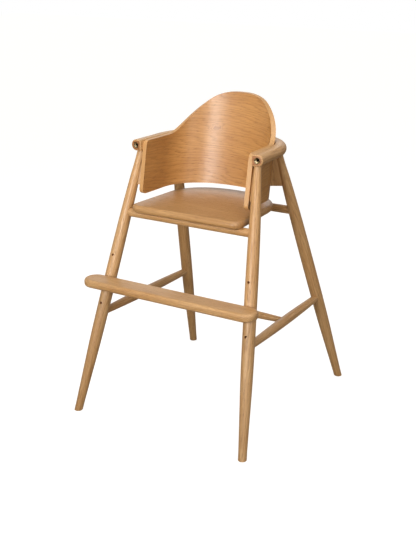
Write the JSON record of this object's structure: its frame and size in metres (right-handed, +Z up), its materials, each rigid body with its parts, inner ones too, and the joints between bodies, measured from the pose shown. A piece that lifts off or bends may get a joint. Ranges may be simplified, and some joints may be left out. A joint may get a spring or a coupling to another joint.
{
  "type": "baby high chair",
  "caption": "Oak baby high chair with splayed turned legs, bent arm rail, moulded veneer back shell, solid seat and a bolt-on footrest board.",
  "frame": {"origin": "on the floor, midway between the four feet", "axes": "+Z up; the sitter faces -Y; +X is to the right of someone who looks at the front of the chair"},
  "size_m": [0.5204, 0.566, 0.7933],
  "materials": {
    "oak": "clear satin lacquer on solid oak",
    "veneer": "clear satin lacquer on moulded oak veneer",
    "seat_oak": "clear satin lacquer on a solid oak board",
    "brass": "turned, bright",
    "steel": "zinc plated"
  },
  "bodies": {
    "frame": {"arm_rail": "oak", "back_shell": "veneer", "seat_panel": "seat_oak", "leg_front_left": "oak", "leg_front_right": "oak", "leg_rear_left": "oak", "leg_rear_right": "oak", "gusset_front_left": "oak", "gusset_front_right": "oak", "gusset_rear_left": "oak", "gusset_rear_right": "oak", "seat_rail_front": "oak", "seat_rail_rear": "oak", "stretcher_left": "oak", "stretcher_right": "oak", "stretcher_cross": "oak", "rail_socket_left": "brass", "rail_socket_right": "brass", "seat_screw_front_left": "steel", "seat_screw_front_right": "steel", "seat_screw_rear_left": "steel", "seat_screw_rear_right": "steel"},
    "footrest": {"footrest_board": "oak", "footrest_insert_left": "brass", "footrest_insert_right": "brass"},
    "bolt_left": {"footrest_bolt_left": "brass", "footrest_washer_left": "brass"},
    "bolt_right": {"footrest_bolt_right": "brass", "footrest_washer_right": "brass"}
  },
  "joints": [
    {"name": "footrest_pull", "type": "slide", "parent": "frame", "child": "footrest", "axis": [0, -1, 0], "range_m": [0, 0.06]},
    {"name": "footrest_bolt_left_draw", "type": "slide", "parent": "frame", "child": "bolt_left", "axis": [0, 1, 0], "range_m": [0, 0.06]},
    {"name": "footrest_bolt_right_draw", "type": "slide", "parent": "frame", "child": "bolt_right", "axis": [0, 1, 0], "range_m": [0, 0.06]}
  ]
}
